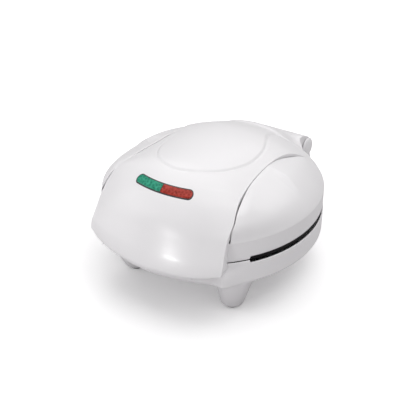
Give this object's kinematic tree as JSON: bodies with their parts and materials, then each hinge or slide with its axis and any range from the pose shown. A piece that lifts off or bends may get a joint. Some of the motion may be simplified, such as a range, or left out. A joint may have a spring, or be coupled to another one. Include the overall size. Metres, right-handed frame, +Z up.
{
  "type": "quesadilla maker",
  "caption": "White countertop quesadilla maker with an oval body on four feet, a hinged lid with a hooded visor and a green and red lamp window.",
  "frame": {"origin": "centre of the bounding box in plan, at the underside of the foot pads", "axes": "+Z up, front and visor towards -Y, hinge at +Y, +X to the right when seen from behind"},
  "size_m": [0.23, 0.282, 0.1472],
  "materials": {
    "white_plastic": "moulded gloss",
    "nonstick": "black non-stick coat",
    "steel": "plain",
    "plated_sheet": "mill sheet",
    "black_plastic": "moulded",
    "rubber": "moulded",
    "green_lens": "clear tinted",
    "red_lens": "clear tinted",
    "terminal_plastic": "moulded",
    "lamp_glass": "clear"
  },
  "bodies": {
    "base": {"base_housing": "white_plastic", "legs": "white_plastic", "hinge_ears": "white_plastic", "foot_pads": "rubber", "lower_plate": "nonstick", "lower_heater": "steel", "lower_heater_clamps": "plated_sheet", "lower_heat_shield": "plated_sheet", "lower_shield_screw": "steel", "lower_plate_screws": "steel", "lower_thermostat": "steel", "thermal_fuse": "terminal_plastic", "terminal_block": "terminal_plastic", "cord_bushing": "black_plastic", "hinge_pin": "steel", "hinge_caps": "white_plastic"},
    "lid": {"lid_housing": "white_plastic", "lid_knuckle": "white_plastic", "lid_hood": "white_plastic", "hood_screws": "steel", "upper_plate": "nonstick", "upper_heater": "steel", "upper_heater_clamps": "plated_sheet", "upper_heat_shield": "plated_sheet", "upper_shield_screw": "steel", "upper_plate_screws": "steel", "upper_thermostat": "steel", "lamp_bezel": "black_plastic", "green_lens": "green_lens", "red_lens": "red_lens", "lamp_holder": "terminal_plastic", "indicator_lamps": "lamp_glass"}
  },
  "joints": [
    {"name": "lid_hinge", "type": "hinge", "parent": "base", "child": "lid", "pos_m": [0, 0.1315, 0.0913], "axis": [-1, 0, 0], "range_deg": [0, 95]}
  ]
}
